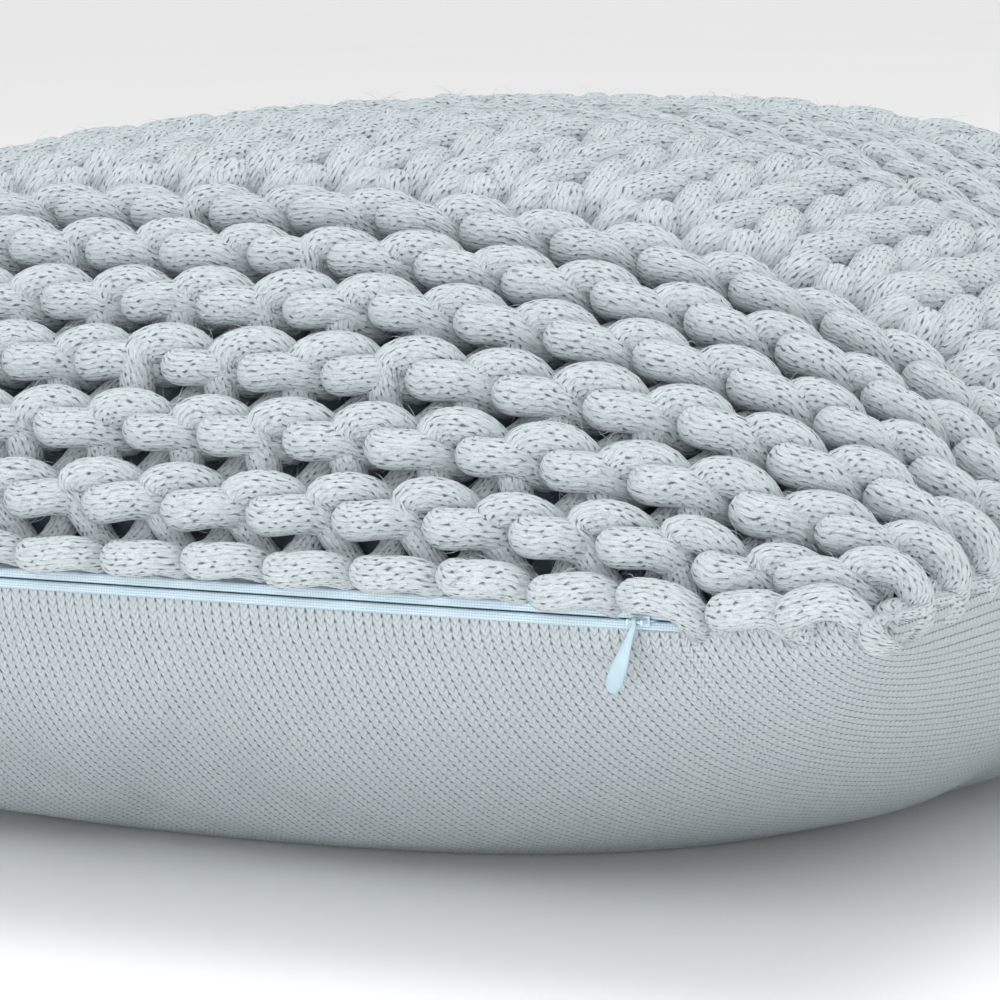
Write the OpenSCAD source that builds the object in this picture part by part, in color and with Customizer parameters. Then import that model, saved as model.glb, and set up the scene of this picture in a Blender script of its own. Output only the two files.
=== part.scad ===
// Square throw pillow: a knitted cover with a concealed zipper, round a fibre-filled insert.
// Millimetres. +Z is up, the zipper side faces -Y, and the origin is under the middle on the floor.

/* [Pillow outline] */
// Half of the stuffed width, from the middle towards a corner's side
half_side = 294; // [220:1:330]
// Share of the half width by which a side pulls in between its corners
side_pull = 0.05; // [0.02:0.005:0.08]
// How evenly the pull runs along a side: a high value keeps the zipper side straight
side_straight = 6; // [4:1:10]
// Share by which each corner is rounded back
corner_round = 0.03; // [0.01:0.005:0.06]

/* [Top and bottom] */
// Height of the seam that joins the two panels
seam_height = 96; // [80:1:120]
// Rise of the middle of the knit above the seam
top_rise = 106; // [80:1:130]
// Depth that the bottom would bulge below the seam if no floor stopped it
bottom_drop = 115; // [110:1:140]

/* [Cover layers] */
// How far the knit stands out from its middle plane at the top
knit_out_top = 12; // [8:1:15]
// How far the knit stands out from its middle plane at the sides
knit_out_side = 6; // [4:1:8]
// How far the knit reaches in from its middle plane
knit_in = 9; // [7:1:11]
// Thickness of the lining behind the knit
lining_thick = 1.0; // [0.6:0.1:1.5]
// Thickness of the jersey back
jersey_thick = 2.5; // [1.5:0.1:3]

/* [Insert] */
// Distance from the knit's middle plane to the insert's casing
insert_in = 14; // [13:0.5:18]
// Thickness of the insert's casing
casing_thick = 0.8; // [0.5:0.1:1.2]

/* [Zipper] */
// Half of the length that the slider can pass
zipper_half = 213; // [160:1:240]
// Height of each folded tape edge that shows
fold_height = 2.5; // [2:0.1:3]
// Width of tape that is sewn in behind each fold
tape_width = 9; // [6:0.5:10]
// Radius of each coil
coil_r = 0.85; // [0.6:0.05:0.9]
// Length of the slider
slider_len = 8; // [6:0.5:10]
// Length of the pull tab from its pin to its tip
pull_len = 21; // [15:0.5:28]
// Widest part of the pull tab
pull_width = 5; // [3:0.1:6]
// Thickness of the pull tab
pull_thick = 1.3; // [0.8:0.1:1.8]
// Sideways lean of the pull tab in its loop, in degrees
pull_lean = 22; // [0:1:30]

/* [Label] */
// Width of the blank care label sewn into the cover
label_width = 30; // [20:1:45]
// Length of the care label
label_length = 50; // [30:1:60]

/* [Hidden] */

gap = 0.3;                       // space between layers that only lie on each other
seam_half = 0.5;                 // half the thickness of the seam between two panels
cells = 24;                      // squares along each side of a panel's surface
round_power = 8;                 // how tightly the rounding keeps to the corner

// Profile of a panel from the middle to the seam: (1 - w^fullness)^steepness
top_full = 2.78;
top_steep = 0.97;
bottom_full = 2.49;
bottom_steep = 0.62;

// A layer is [half width, rise from its rim, lowest height that it may reach]
knit_outer = [half_side + knit_out_side, top_rise + knit_out_top, 0];
knit_inner = [half_side - knit_in, top_rise - knit_in, 0];
lining_outer = [knit_inner[0] - gap, knit_inner[1] - gap, 0];
lining_inner = [lining_outer[0] - lining_thick, lining_outer[1] - lining_thick, 0];
casing_top_outer = [half_side - insert_in, top_rise - insert_in, 0];
casing_top_inner = [casing_top_outer[0] - casing_thick, casing_top_outer[1] - casing_thick, 0];
insert_seam_wide = 3;            // width of the seam that joins the insert's two halves
fill_half = casing_top_outer[0] - insert_seam_wide - gap;
fill_top = [fill_half, casing_top_inner[1] - gap, 0];
jersey_outer = [half_side, bottom_drop, -100];
jersey_inner = [half_side - jersey_thick, bottom_drop - jersey_thick, jersey_thick];
casing_low_outer = [casing_top_outer[0], jersey_inner[1] - 2, jersey_inner[2] + gap];
casing_low_inner = [casing_low_outer[0] - casing_thick, casing_low_outer[1] - casing_thick,
                    casing_low_outer[2] + casing_thick];
fill_low = [fill_half, casing_low_inner[1] - gap, casing_low_inner[2] + gap];
label_outer = [half_side - 5, bottom_drop - 5.5, 0];
label_inner = [label_outer[0] - 0.4, label_outer[1] - 0.4, 0];

// The zipper lies along X at the height of the seam. Its section is drawn in [outward, up].
zipper_y = -half_side * (1 - side_pull);
fold_gap = 0.4;                  // from the middle line to a folded edge
fold_front = 1.6;                // how far the folded edges stand out
fold_back = -1.2;
tape_thick = 0.6;
tape_half = zipper_half + 10;
coil_out = -3.1;                 // coil's place behind the folds
coil_up = 1.3;
stop_len = 3;
slot_half = fold_gap + fold_height + 0.2;
neck_half = 0.25;                // half thickness of the slider's neck, between the folds
plate_out = 1.9;                 // inner face of the slider's front plate
plate_thick = 0.7;
pin_out = 4.9;                   // the pin that the pull tab swings on
pin_r = 0.5;
eye_r = 1.5;
eye_hole_r = 0.7;
slider_x = zipper_half - slider_len / 2 - 1;

function spread(k) = sin(90 * (2 * k / cells - 1));
function dome(w, full, steep) = pow(max(0, 1 - pow(abs(w), full)), steep);
function pulled_in(u, v) = 1 - side_pull * (1 - pow(abs(v), side_straight)) * u * u;
function rounded(u, v) = 1 - corner_round * pow(abs(u * v), round_power);
function plan(u, v, half) =
    half * rounded(u, v) * [u * pulled_in(u, v), v * pulled_in(v, u)];

function on_top(u, v, layer, rim) =
    let (p = plan(u, v, layer[0]))
    [p[0], p[1], seam_height + rim
     + layer[1] * dome(u, top_full, top_steep) * dome(v, top_full, top_steep)];
function on_bottom(u, v, layer, rim) =
    let (p = plan(u, v, layer[0]))
    [p[0], p[1], max(layer[2], seam_height - rim
     - layer[1] * dome(u, bottom_full, bottom_steep) * dome(v, bottom_full, bottom_steep))];

// Every point of a layer's surface, row by row
function surface_points(layer, rim, top) =
    [for (j = [0 : cells], i = [0 : cells])
        top ? on_top(spread(i), spread(j), layer, rim)
            : on_bottom(spread(i), spread(j), layer, rim)];

// The two triangles of one square, split along either diagonal
function cell_faces(p, q, rising) =
    rising ? [[p, q + 1, p + 1], [p, q, q + 1]]
           : [[p, q, p + 1], [p + 1, q, q + 1]];

// Triangles over a grid that starts at a given point; flip turns them to face the other way.
// Every diagonal runs from the corners towards the middle, so no triangle lies along the rim.
function grid_faces(first, nx, ny, flip) =
    [for (j = [0 : ny - 1], i = [0 : nx - 1])
        let (p = first + j * (nx + 1) + i, q = p + nx + 1)
        for (f = cell_faces(p, q, (2 * i < nx) == (2 * j < ny)))
            flip ? [f[2], f[1], f[0]] : f];

// The grid's outside points in order, seen from above, anticlockwise
function rim_points(nx, ny) = concat(
    [for (i = [0 : nx - 1]) i],
    [for (j = [0 : ny - 1]) j * (nx + 1) + nx],
    [for (i = [nx : -1 : 1]) ny * (nx + 1) + i],
    [for (j = [ny : -1 : 1]) j * (nx + 1)]);

// Triangles that join the rims of an upper and a lower grid
function rim_faces(nx, ny, upper, lower) =
    let (r = rim_points(nx, ny), n = len(r))
    [for (k = [0 : n - 1])
        let (a = r[k], b = r[(k + 1) % n])
        each [[upper + a, upper + b, lower + b], [upper + a, lower + b, lower + a]]];

// A closed solid between an upper and a lower surface on the same grid
module between(upper_points, lower_points, nx, ny) {
    n = len(upper_points);
    polyhedron(
        points = concat(upper_points, lower_points),
        faces = concat(
            grid_faces(0, nx, ny, false),
            grid_faces(n, nx, ny, true),
            rim_faces(nx, ny, 0, n)),
        convexity = 6);
}

module top_shell(outer, inner, rim) {
    between(surface_points(outer, rim, true), surface_points(inner, rim, true), cells, cells);
}

module bottom_shell(outer, inner, rim) {
    between(surface_points(inner, rim, false), surface_points(outer, rim, false), cells, cells);
}

// The outline of a layer at its rim
function outline(half) =
    let (r = rim_points(cells, cells))
    [for (k = r) plan(spread(k % (cells + 1)), spread(floor(k / (cells + 1))), half)];

module seam_ring(half_out, half_in, thick) {
    translate([0, 0, seam_height - thick / 2])
        linear_extrude(thick)
            difference() {
                polygon(outline(half_out));
                polygon(outline(half_in));
            }
}

// The space along the zipper side that the cover's layers leave for the tapes
module zipper_slot() {
    depth = 60;
    translate([-tape_half - 1, zipper_y + tape_width + 1.5 - depth, seam_height - slot_half])
        cube([2 * tape_half + 2, depth, 2 * slot_half]);
}

// Sweeps a section drawn as [outward, up] along the zipper, from x0 to x1
module along_zipper(x0, x1) {
    translate([x0, zipper_y, seam_height])
        rotate([90, 0, 90])
            linear_extrude(x1 - x0)
                mirror([1, 0])
                    children();
}

// A cylinder along the zipper
module rod(x0, x1, out, up, r) {
    translate([x0, zipper_y - out, seam_height + up])
        rotate([0, 90, 0])
            cylinder(h = x1 - x0, r = r, $fn = 48);
}

// A block along the zipper between two corners of its section
module block(x0, x1, low, high) {
    translate([x0, zipper_y - high[0], seam_height + low[1]])
        cube([x1 - x0, high[0] - low[0], high[1] - low[1]]);
}

module front_panel() {
    color("#bccad2")
        difference() {
            top_shell(knit_outer, knit_inner, seam_half);
            zipper_slot();
        }
}

module front_lining() {
    color("#9fb2bf")
        difference() {
            top_shell(lining_outer, lining_inner, seam_half);
            zipper_slot();
        }
}

module back_panel() {
    color("#b9c7cd")
        difference() {
            bottom_shell(jersey_outer, jersey_inner, seam_half);
            translate([-half_side, -half_side, -half_side])
                cube([2 * half_side, 2 * half_side, half_side]);
            zipper_slot();
        }
}

module cover_seam() {
    color("#aebcc6")
        difference() {
            seam_ring(half_side, half_side - 6, 2 * seam_half);
            zipper_slot();
        }
}

// A folded tape: the fold that shows, and the flat width sewn in behind it
module tape_section() {
    bevel = 0.6;
    top = fold_gap + fold_height;
    polygon([
        [-tape_width, top], [fold_front - bevel, top], [fold_front, top - bevel],
        [fold_front, fold_gap + bevel], [fold_front - bevel, fold_gap],
        [fold_back, fold_gap], [fold_back, top - tape_thick], [-tape_width, top - tape_thick]]);
}

module zipper_tape_upper() {
    color("#bed7e6") along_zipper(-tape_half, tape_half) tape_section();
}

module zipper_tape_lower() {
    color("#bed7e6") along_zipper(-tape_half, tape_half) mirror([0, 1]) tape_section();
}

module zipper_coil_upper() {
    color("#c8dbe8") rod(-zipper_half, zipper_half, coil_out, coil_up, coil_r);
}

module zipper_coil_lower() {
    color("#c8dbe8") rod(-zipper_half, zipper_half, coil_out, -coil_up, coil_r);
}

// A clamp across the ends of both coils
module coil_stop(x0) {
    block(x0, x0 + stop_len, [coil_out - 1, -2.1], [coil_out + 1, 2.1]);
}

module zipper_top_stop() {
    color("#b4c8d6") coil_stop(zipper_half);
}

module zipper_bottom_stop() {
    color("#b4c8d6") coil_stop(-zipper_half - stop_len);
}

// Back plate behind the coils, neck between the folds, front plate, and a loop with a pin
module zipper_slider() {
    x0 = slider_x - slider_len / 2;
    x1 = slider_x + slider_len / 2;
    post = 0.9;
    loop_half = 2.6;
    color("#b6cbd9")
        union() {
            block(x0, x1, [coil_out - 2.6, -2], [coil_out - 1.2, 2]);
            block(x0, x1, [coil_out - 1.3, -neck_half], [plate_out + 0.1, neck_half]);
            block(x0 + 1, x1 - 1, [plate_out, -1.5], [plate_out + plate_thick, 1.5]);
            for (side = [-1, 1])
                translate([slider_x + side * loop_half - (side > 0 ? post : 0), 0, 0])
                    block(0, post, [plate_out + plate_thick - 0.1, -0.8], [pin_out + 0.8, 0.8]);
            rod(slider_x - loop_half + 0.1, slider_x + loop_half - 0.1, pin_out, 0, pin_r);
        }
}

// Half width of the pull tab at a share of its length: a slim neck that swells to a round end
function tab_half(s) =
    let (neck = 0.75, belly = pull_width / 2, end = 0.86)
    s < end ? neck + (belly - neck) * (1 - cos(180 * s / end)) / 2
            : belly * sqrt(max(0, 1 - pow((s - end) / (1 - end), 2)));

module pull_tab() {
    steps = 24;
    side = [for (k = [0 : steps]) let (s = k / steps) [tab_half(s), -s * pull_len]];
    other = [for (k = [steps - 1 : -1 : 0]) let (s = k / steps) [-tab_half(s), -s * pull_len]];
    color("#b4cdd7")
        difference() {
            union() {
                rod(slider_x - 0.75, slider_x + 0.75, pin_out, 0, eye_r);
                translate([slider_x, zipper_y - pin_out + pull_thick / 2, seam_height])
                    rotate([90, 0, 0])
                        linear_extrude(pull_thick)
                            rotate([0, 0, -pull_lean])
                                difference() {
                                    polygon(concat(side, other));
                                    translate([-3, -eye_r + 0.5])
                                        square([6, 2 * eye_r]);
                                }
            }
            rod(slider_x - 3, slider_x + 3, pin_out, 0, eye_hole_r);
        }
}

// A blank strip sewn into the seam beside the zipper, lying against the jersey inside
module care_label() {
    u_mid = -0.9;
    u_half = label_width / 2 / half_side;
    v_end = -1 + label_length / half_side;
    nx = 4;
    ny = 10;
    points = function (layer)
        [for (j = [0 : ny], i = [0 : nx])
            on_bottom(u_mid + u_half * (2 * i / nx - 1),
                      -1 + (v_end + 1) * pow(j / ny, 2), layer, seam_half + 1)];
    color("#f2f2ee") between(points(label_inner), points(label_outer), nx, ny);
}

module insert_top() {
    color("#f4f4f1") top_shell(casing_top_outer, casing_top_inner, seam_half);
}

module insert_bottom() {
    color("#f4f4f1") bottom_shell(casing_low_outer, casing_low_inner, seam_half);
}

module insert_seam() {
    color("#e6e6e2")
        seam_ring(casing_top_outer[0], casing_top_outer[0] - insert_seam_wide, 2 * seam_half);
}

module fibre_fill() {
    rim = 0.3;
    color("#fbfbfa")
        between(surface_points(fill_top, rim, true), surface_points(fill_low, rim, false),
                cells, cells);
}

front_panel();
front_lining();
back_panel();
cover_seam();
zipper_tape_upper();
zipper_tape_lower();
zipper_coil_upper();
zipper_coil_lower();
zipper_top_stop();
zipper_bottom_stop();
zipper_slider();
pull_tab();
care_label();
insert_top();
insert_bottom();
insert_seam();
fibre_fill();
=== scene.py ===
"""Looks for a square throw pillow: chunky knitted front, jersey back, concealed zipper, insert.

Everything is in metres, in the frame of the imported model: +Z up, zipper side towards -Y.
"""
import math

import bmesh
import bpy
import numpy as np
from mathutils import Matrix, Vector


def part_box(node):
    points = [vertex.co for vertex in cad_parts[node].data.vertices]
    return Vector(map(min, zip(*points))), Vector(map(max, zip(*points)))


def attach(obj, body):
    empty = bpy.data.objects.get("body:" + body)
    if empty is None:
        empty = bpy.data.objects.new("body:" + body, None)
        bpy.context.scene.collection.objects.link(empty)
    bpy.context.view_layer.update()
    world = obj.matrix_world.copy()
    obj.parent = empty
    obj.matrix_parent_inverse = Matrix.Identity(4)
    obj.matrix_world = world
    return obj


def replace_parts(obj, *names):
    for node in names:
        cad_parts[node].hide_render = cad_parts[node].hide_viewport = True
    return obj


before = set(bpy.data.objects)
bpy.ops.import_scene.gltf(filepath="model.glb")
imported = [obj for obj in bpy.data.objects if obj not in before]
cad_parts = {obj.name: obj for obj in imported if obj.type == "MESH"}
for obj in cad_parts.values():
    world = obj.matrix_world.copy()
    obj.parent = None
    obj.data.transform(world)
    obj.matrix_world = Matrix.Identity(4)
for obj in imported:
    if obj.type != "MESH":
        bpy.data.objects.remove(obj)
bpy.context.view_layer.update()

MM = 0.001

# Sizes that come from the frame
knit_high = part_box("front_panel")[1]
jersey_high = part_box("back_panel")[1]
upper_low, upper_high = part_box("zipper_tape_upper")
lower_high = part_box("zipper_tape_lower")[1]
slider_low, slider_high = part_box("zipper_slider")

# The pillow's outline and profiles, as the CAD model has them
CORNER_ROUND = 0.03
ROUND_POWER = 8
SIDE_PULL = 0.05
SIDE_STRAIGHT = 6
TOP_FULL, TOP_STEEP = 2.78, 0.97
BOTTOM_FULL, BOTTOM_STEEP = 2.49, 0.62
HALF = jersey_high.x / (1 - CORNER_ROUND)
SEAM_Z = (upper_low.z + lower_high.z) / 2
TOP_RISE = knit_high.z - SEAM_Z - 12.5 * MM
BOTTOM_DROP = 115 * MM
ZIPPER_Y = -HALF * (1 - SIDE_PULL)
KNIT_LIFT = 5.5 * MM              # the knit's edge starts this far above the seam
SAG = 7 * MM                      # how far the knit droops beside the zipper's closed end

# The knit: stitches across and rows up one panel, and the yarn
WALES = 21
WALE_SPAN = 20.84                 # stitch widths between the side seams
ROW_SPAN = 23.47                  # row heights between the zipper and the far seam
FIBRES_PER_ROW = 1500             # loose fibre ends that stand out of the yarn
FIRST_WALE = -11 + 0.468          # where the first stitch starts, counted from the middle
FIRST_ROW = 0.583                 # where the first row's lobes lie above the zipper's seam
BANDS = [6, 4, 4, 4, 5]           # rows of purl, knit, purl, knit, purl
YARN_R = 5.25 * MM
LOOP_SIDE = 0.215                 # sideways swing of a loop, in stitch widths
LOOP_RISE = 0.72                  # half of a loop's height, in row heights
LOOP_FLAT = -0.08                 # third harmonic that rounds a loop's ends
KNIT_DEPTH = 6.2 * MM             # how far a loop swings out and in
KNIT_OUT = 2.0 * MM               # place of the loops' middle above the base surface
PURL_TWIST = 0.6                  # how far a purl loop's left end stands over its right end
PURL_LEAN = 0.09                  # how far that left end hangs lower, in row heights
LOBE_FAT = 0.1                    # how much plumper the yarn is where it comes to the front
KNIT_FAT = 0.36                   # how much plumper the yarn lies in the knit rows
EDGE_LOW = -0.05                  # where the first edge's lobes lie, in row heights
FAR_EDGE = 0.25                   # row heights that the last heads stop short of the far seam
TUCK = 7 * MM                     # how deep the yarn's ends and edge loops go in
HAIR = 0.08 * MM                  # half the size of a loose fibre at its root
PER_STITCH = 44                   # points of yarn along one stitch
YARN_SIDES = 14

rng = np.random.default_rng(24)


# ---------------------------------------------------------------- pillow surfaces

def ease(t):
    """0 to 1 with a soft start and end, as t goes from 0 to 1."""
    t = np.clip(t, 0, 1)
    return t * t * (3 - 2 * t)


def dome(w, full, steep):
    """Share of a panel's height along one direction, 1 in the middle and 0 at the rim."""
    return np.maximum(0, 1 - np.abs(w) ** full) ** steep


def plan(u, v, half):
    """The outline: where grid places from -1 to 1 lie, with the sides pulled in."""
    rounded = half * (1 - CORNER_ROUND * np.abs(u * v) ** ROUND_POWER)
    x = rounded * u * (1 - SIDE_PULL * (1 - np.abs(v) ** SIDE_STRAIGHT) * u * u)
    y = rounded * v * (1 - SIDE_PULL * (1 - np.abs(u) ** SIDE_STRAIGHT) * v * v)
    return x, y


def top_surface(u, v, inset=0.0, lift=KNIT_LIFT):
    """The pillow's upper side, inset from its shape, with its rim lifted above the seam."""
    x, y = plan(u, v, HALF - inset)
    crown = dome(u, TOP_FULL, TOP_STEEP) * dome(v, TOP_FULL, TOP_STEEP)
    z = SEAM_Z + lift * (1 - crown) + (TOP_RISE - inset) * crown
    return np.stack([x, y, z - droop(x, y)], -1)


def droop(x, y):
    """The cover's fall beside the zipper's closed end, which fades within 70 mm of the seam.
    It stays small where the slider passes."""
    across = 0.3 * ease((x - 0.12) / 0.07) + 0.7 * ease((x - 0.21) / 0.02)
    return SAG * across * ease((0.29 - x) / 0.05) * ease(1 - (y - ZIPPER_Y) / 0.07)


def bottom_surface(u, v, inset=0.0, floor=0.0):
    """The pillow's lower side, inset from its shape and flat at the height of floor."""
    x, y = plan(u, v, HALF - inset)
    crown = dome(u, BOTTOM_FULL, BOTTOM_STEEP) * dome(v, BOTTOM_FULL, BOTTOM_STEEP)
    z = np.maximum(floor, SEAM_Z - (BOTTOM_DROP - inset) * crown)
    return np.stack([x, y, z], -1)


def smoothed(grid, passes):
    """A grid of points or normals with its small bumps evened out."""
    for _ in range(passes):
        for axis in (0, 1):
            padded = np.concatenate([grid.take([0], axis), grid, grid.take([-1], axis)], axis)
            n = grid.shape[axis]
            grid = (padded.take(range(n), axis) + 2 * grid
                    + padded.take(range(2, n + 2), axis)) / 4
    return grid


def normals_of(grid):
    """Unit normals of a grid of points."""
    n = np.cross(np.gradient(grid, axis=1), np.gradient(grid, axis=0))
    return n / np.maximum(np.linalg.norm(n, axis=-1, keepdims=True), 1e-12)


def sample(grid, a, b):
    """Value of a grid over [-1, 1] by [-1, 1] at columns a and rows b."""
    rows, columns = grid.shape[0] - 1, grid.shape[1] - 1
    x = np.clip((a + 1) / 2 * columns, 0, columns - 1e-9)
    y = np.clip((b + 1) / 2 * rows, 0, rows - 1e-9)
    i, j = x.astype(int), y.astype(int)
    fx, fy = (x - i), (y - j)
    if grid.ndim == 3:
        fx, fy = fx[..., None], fy[..., None]
    low = grid[j, i] * (1 - fx) + grid[j, i + 1] * fx
    high = grid[j + 1, i] * (1 - fx) + grid[j + 1, i + 1] * fx
    return low * (1 - fy) + high * fy


# ---------------------------------------------------------------- simulated folds

SIM_CELLS = 72
SIM_FRAMES = 30
CUT_HALF = 305 * MM               # half of the flat size that the panels are cut to


def closed_pair(top, bottom):
    """One closed surface from two grids of points that share their rim, and the place of each
    grid's points in it."""
    rows, columns = top.shape[:2]
    j, i = np.meshgrid(np.arange(rows), np.arange(columns), indexing="ij")
    on_rim = ((i == 0) | (j == 0) | (i == columns - 1) | (j == rows - 1)).ravel()
    index = np.arange(rows * columns)
    second = np.where(on_rim, index, index + rows * columns)
    corner = (j[:-1, :-1] * columns + i[:-1, :-1]).ravel()
    quads = np.stack([corner, corner + 1, corner + 1 + columns, corner + columns], 1)
    faces = np.concatenate([quads, second[quads[:, ::-1]]])
    used, faces = np.unique(faces, return_inverse=True)
    points = np.concatenate([top.reshape(-1, 3), bottom.reshape(-1, 3)])[used]
    place = np.full(2 * index.size, -1)
    place[used] = np.arange(len(used))
    return points, faces.reshape(-1, 4), place[index], place[second]


def flat_cover():
    """Two flat square panels that share their rim, ready to be blown up."""
    k = np.linspace(-1, 1, SIM_CELLS + 1)
    u, v = np.meshgrid(k, k)
    start = 4 * MM * (1 - u * u) * (1 - v * v)
    top, bottom = (np.stack([CUT_HALF * u, CUT_HALF * v, side * start], -1)
                   for side in (1, -1))
    points, faces, top_points, bottom_points = closed_pair(top, bottom)
    mesh = bpy.data.meshes.new("flat_cover")
    mesh.from_pydata(points.tolist(), [], faces.tolist())
    return mesh, top_points, bottom_points


def simulated_folds():
    """How far the blown-up cover's folds stand out of its smooth shape, top and bottom."""
    size = SIM_CELLS + 1
    mesh, top_points, bottom_points = flat_cover()
    cover = bpy.data.objects.new("flat_cover", mesh)
    bpy.context.scene.collection.objects.link(cover)
    cloth = cover.modifiers.new("cloth", "CLOTH")
    settings = cloth.settings
    settings.quality = 5
    settings.mass = 0.4
    settings.air_damping = 5
    settings.tension_stiffness = 40
    settings.compression_stiffness = 40
    settings.shear_stiffness = 10
    settings.bending_stiffness = 1
    settings.use_pressure = True
    settings.uniform_pressure_force = 5
    settings.effector_weights.gravity = 0
    cloth.point_cache.frame_start = 1
    cloth.point_cache.frame_end = SIM_FRAMES
    for number in range(1, SIM_FRAMES + 1):
        bpy.context.scene.frame_set(number)
    shaped = cover.evaluated_get(bpy.context.evaluated_depsgraph_get()).to_mesh()
    points = np.zeros(len(shaped.vertices) * 3)
    shaped.vertices.foreach_get("co", points)
    points = points.reshape(-1, 3)
    folds = []
    for index, side in ((top_points, 1), (bottom_points, -1)):
        grid = points[index].reshape(size, size, 3)
        even = smoothed(grid, 24)
        folds.append(((grid - even) * normals_of(even) * side).sum(-1))
    bpy.data.objects.remove(cover)
    bpy.context.scene.frame_set(1)
    return folds


FOLD_CAP = 4 * MM                 # the most that a fold may stand out
KNIT_FOLD, JERSEY_FOLD = 0.25, 0.3    # share of the simulated folds that each panel keeps
top_folds, bottom_folds = simulated_folds()


def folded(points, folds, u, v, share, side):
    """The surface with a share of the simulated folds added along its normals."""
    rim = (1 - u ** 8) * (1 - v ** 8)
    height = FOLD_CAP * np.tanh(sample(folds, u, v) * share / FOLD_CAP) * rim
    return points + height[..., None] * normals_of(points) * side


FINE = 256
fine = np.linspace(-1, 1, FINE + 1)
fine_u, fine_v = np.meshgrid(fine, fine)
knit_base = folded(top_surface(fine_u, fine_v), top_folds, fine_u, fine_v, KNIT_FOLD, 1)
knit_normal = smoothed(normals_of(knit_base), 4)
knit_normal /= np.linalg.norm(knit_normal, axis=-1, keepdims=True)


def arc_lengths(grid):
    """Length along each row and each column of a grid, from -1 to 1, and the whole lengths."""
    across = np.linalg.norm(np.diff(grid, axis=1), axis=-1)
    along = np.linalg.norm(np.diff(grid, axis=0), axis=-1)
    fu = np.concatenate([np.zeros((grid.shape[0], 1)), np.cumsum(across, 1)], 1)
    fv = np.concatenate([np.zeros((1, grid.shape[1])), np.cumsum(along, 0)], 0)
    long_u, long_v = fu[:, -1:].copy(), fv[-1:].copy()
    return 2 * fu / long_u - 1, 2 * fv / long_v - 1, long_u, long_v


arc_u, arc_v, long_u, long_v = arc_lengths(knit_base)
STITCH_W = float(long_u[FINE // 2, 0]) / WALE_SPAN
ROW_H = float(long_v[0, FINE // 2]) / ROW_SPAN


def on_knit(fu, fv, out):
    """Points and normals at fractions of the knit's length, raised by out; past a seam it
    goes on straight."""
    a, b = np.clip(fu, -1, 1), np.clip(fv, -1, 1)
    u, v = a.copy(), b.copy()
    for _ in range(6):
        u = np.clip(u + a - sample(arc_u, u, v), -1, 1)
        v = np.clip(v + b - sample(arc_v, u, v), -1, 1)
    point = sample(knit_base, u, v)
    normal = sample(knit_normal, u, v)
    normal /= np.linalg.norm(normal, axis=-1, keepdims=True)
    across = np.stack([np.ones_like(u), 0 * u, 0 * u], -1)
    across -= normal * (across * normal).sum(-1, keepdims=True)
    along = np.stack([0 * u, np.ones_like(u), 0 * u], -1)
    along -= normal * (along * normal).sum(-1, keepdims=True)
    across /= np.linalg.norm(across, axis=-1, keepdims=True)
    along /= np.linalg.norm(along, axis=-1, keepdims=True)
    point = point + across * ((fu - a) * STITCH_W * WALE_SPAN / 2)[..., None]
    point = point + along * ((fv - b) * ROW_H * ROW_SPAN / 2)[..., None]
    return point + normal * np.asarray(out)[..., None], normal


# ---------------------------------------------------------------- mesh helpers

def mesh_object(name, points, faces, body, uv, material):
    """An object from points and four-sided faces, with a UV map named yarn unless uv is None."""
    points = np.asarray(points, np.float32)
    faces = np.asarray(faces, np.int32)
    mesh = bpy.data.meshes.new(name)
    mesh.vertices.add(len(points))
    mesh.vertices.foreach_set("co", points.ravel())
    mesh.loops.add(faces.size)
    mesh.loops.foreach_set("vertex_index", faces.ravel())
    mesh.polygons.add(len(faces))
    mesh.polygons.foreach_set("loop_start", np.arange(0, faces.size, faces.shape[1]))
    mesh.update(calc_edges=True)
    mesh.validate()
    mesh.polygons.foreach_set("use_smooth", np.ones(len(mesh.polygons), bool))
    if uv is not None:
        layer = mesh.uv_layers.new(name="yarn")
        layer.data.foreach_set("uv", np.asarray(uv, np.float32).ravel())
    return finished(bpy.data.objects.new(name, mesh), body, material)


def finished(piece, body, material):
    """Links a piece, gives it its material and puts it on its body."""
    bpy.context.scene.collection.objects.link(piece)
    piece.data.materials.append(material)
    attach(piece, body)
    return piece


def ring_faces(rings, sides):
    """Four-sided faces between rings of points, with the ring and side number of each."""
    i, k = np.meshgrid(np.arange(rings - 1), np.arange(sides), indexing="ij")
    after = (k + 1) % sides
    faces = np.stack([i * sides + k, i * sides + after, (i + 1) * sides + after,
                      (i + 1) * sides + k], -1)
    return faces.reshape(-1, 4), i, k


def tube(path, normal, radius, sides):
    """Points, faces and UVs (metres along, metres around) of an open tube on a path."""
    n = len(path)
    tangent = np.gradient(path, axis=0)
    tangent /= np.maximum(np.linalg.norm(tangent, axis=1, keepdims=True), 1e-12)
    side = np.cross(tangent, normal)
    side /= np.maximum(np.linalg.norm(side, axis=1, keepdims=True), 1e-12)
    up = np.cross(side, tangent)
    angle = np.arange(sides) / sides * 2 * np.pi
    radius = np.broadcast_to(np.asarray(radius, float), (n,))
    ring = (np.cos(angle)[None, :, None] * side[:, None]
            + np.sin(angle)[None, :, None] * up[:, None])
    points = (path[:, None] + ring * radius[:, None, None]).reshape(-1, 3)
    faces, i, k = ring_faces(n, sides)
    step = np.linalg.norm(np.diff(path, axis=0), axis=1)
    along = np.concatenate([[0], np.cumsum(step)])
    around = 2 * np.pi * float(np.median(radius)) / sides
    u = np.stack([along[i], along[i], along[i + 1], along[i + 1]], -1)
    v = np.stack([k, k + 1, k + 1, k], -1) * around
    uv = np.stack([u, v], -1).reshape(-1, 2)
    return points, faces, uv


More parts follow.
